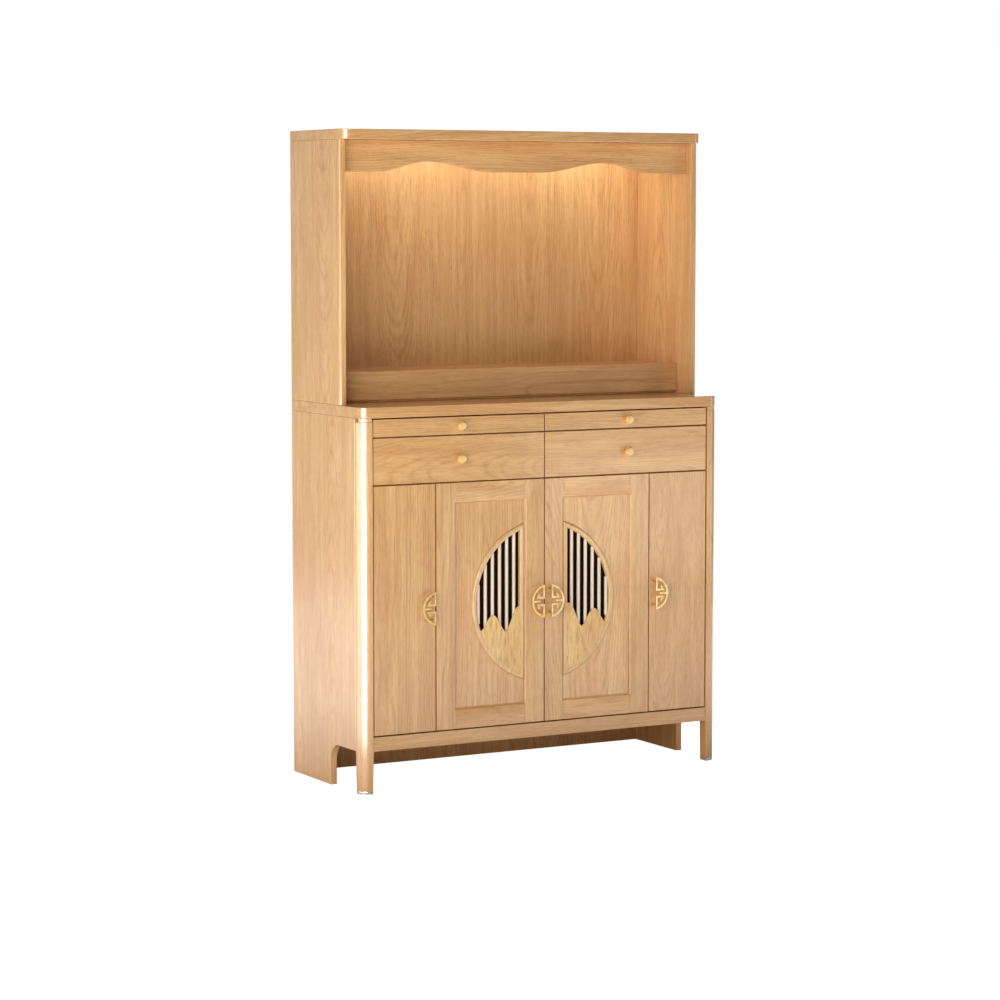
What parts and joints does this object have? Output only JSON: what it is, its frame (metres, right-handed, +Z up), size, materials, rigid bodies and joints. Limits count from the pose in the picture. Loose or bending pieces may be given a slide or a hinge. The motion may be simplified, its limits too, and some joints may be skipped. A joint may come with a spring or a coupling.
{
  "type": "household altar cabinet",
  "caption": "Free-standing altar cabinet in light oak: open niche with a scalloped valance and a raised step, over drawers, plain doors and framed doors with a round lattice.",
  "frame": {"origin": "on the floor under the middle of the cabinet's overall box, handles included", "axes": "+Z up, front with doors and niche towards -Y, +X to the right seen from the front"},
  "size_m": [1.08, 0.4228, 1.698],
  "materials": {
    "oak": "light natural oak with a satin lacquer",
    "drawer_wood": "plain pale drawer wood, matt",
    "hill_wood": "fine-figured yellow wood, satin",
    "dark_lining": "near-black matt lining board",
    "brass": "satin brass",
    "steel": "polished steel"
  },
  "bodies": {
    "cabinet": {"left_side_panel": "oak", "right_side_panel": "oak", "left_front_post": "oak", "right_front_post": "oak", "left_post_collar": "oak", "right_post_collar": "oak", "base_back": "oak", "front_rail": "oak", "cabinet_floor": "oak", "drawer_shelf": "oak", "drawer_divider": "oak", "left_divider": "oak", "right_divider": "oak", "countertop": "oak", "left_niche_side": "oak", "right_niche_side": "oak", "niche_back": "oak", "niche_top": "oak", "valance": "oak", "step_front": "oak", "step_top": "oak", "left_dust_board": "drawer_wood", "right_dust_board": "drawer_wood", "left_foot_cap": "steel", "right_foot_cap": "steel"},
    "left_slim_drawer": {"left_slim_drawer_front": "oak", "left_slim_drawer_box": "drawer_wood", "left_slim_drawer_knob": "brass"},
    "left_deep_drawer": {"left_deep_drawer_front": "oak", "left_deep_drawer_box": "drawer_wood", "left_deep_drawer_knob": "brass"},
    "left_outer_door": {"left_outer_door": "oak", "left_outer_handle": "brass"},
    "left_inner_door": {"left_door_meeting_stile": "oak", "left_door_hinge_stile": "oak", "left_door_top_rail": "oak", "left_door_bottom_rail": "oak", "left_door_panel": "oak", "left_door_lining": "dark_lining", "left_moon_lattice": "oak", "left_mountain_panel": "hill_wood", "left_inner_handle": "brass"},
    "right_slim_drawer": {"right_slim_drawer_front": "oak", "right_slim_drawer_box": "drawer_wood", "right_slim_drawer_knob": "brass"},
    "right_deep_drawer": {"right_deep_drawer_front": "oak", "right_deep_drawer_box": "drawer_wood", "right_deep_drawer_knob": "brass"},
    "right_outer_door": {"right_outer_door": "oak", "right_outer_handle": "brass"},
    "right_inner_door": {"right_door_meeting_stile": "oak", "right_door_hinge_stile": "oak", "right_door_top_rail": "oak", "right_door_bottom_rail": "oak", "right_door_panel": "oak", "right_door_lining": "dark_lining", "right_moon_lattice": "oak", "right_mountain_panel": "hill_wood", "right_inner_handle": "brass"}
  },
  "joints": [
    {"name": "left_slim_drawer_slide", "type": "slide", "parent": "cabinet", "child": "left_slim_drawer", "axis": [0, -1, 0], "range_m": [0, 0.25]},
    {"name": "left_deep_drawer_slide", "type": "slide", "parent": "cabinet", "child": "left_deep_drawer", "axis": [0, -1, 0], "range_m": [0, 0.25]},
    {"name": "left_outer_door_hinge", "type": "hinge", "parent": "cabinet", "child": "left_outer_door", "pos_m": [-0.5005, -0.1911, 0.4715], "axis": [0, 0, -1], "range_deg": [0, 100]},
    {"name": "left_inner_door_hinge", "type": "hinge", "parent": "cabinet", "child": "left_inner_door", "pos_m": [-0.32025, -0.1911, 0.4715], "axis": [0, 0, -1], "range_deg": [0, 95]},
    {"name": "right_slim_drawer_slide", "type": "slide", "parent": "cabinet", "child": "right_slim_drawer", "axis": [0, -1, 0], "range_m": [0, 0.25]},
    {"name": "right_deep_drawer_slide", "type": "slide", "parent": "cabinet", "child": "right_deep_drawer", "axis": [0, -1, 0], "range_m": [0, 0.25]},
    {"name": "right_outer_door_hinge", "type": "hinge", "parent": "cabinet", "child": "right_outer_door", "pos_m": [0.5005, -0.1911, 0.4715], "axis": [0, 0, 1], "range_deg": [0, 100]},
    {"name": "right_inner_door_hinge", "type": "hinge", "parent": "cabinet", "child": "right_inner_door", "pos_m": [0.32025, -0.1911, 0.4715], "axis": [0, 0, 1], "range_deg": [0, 95]}
  ]
}
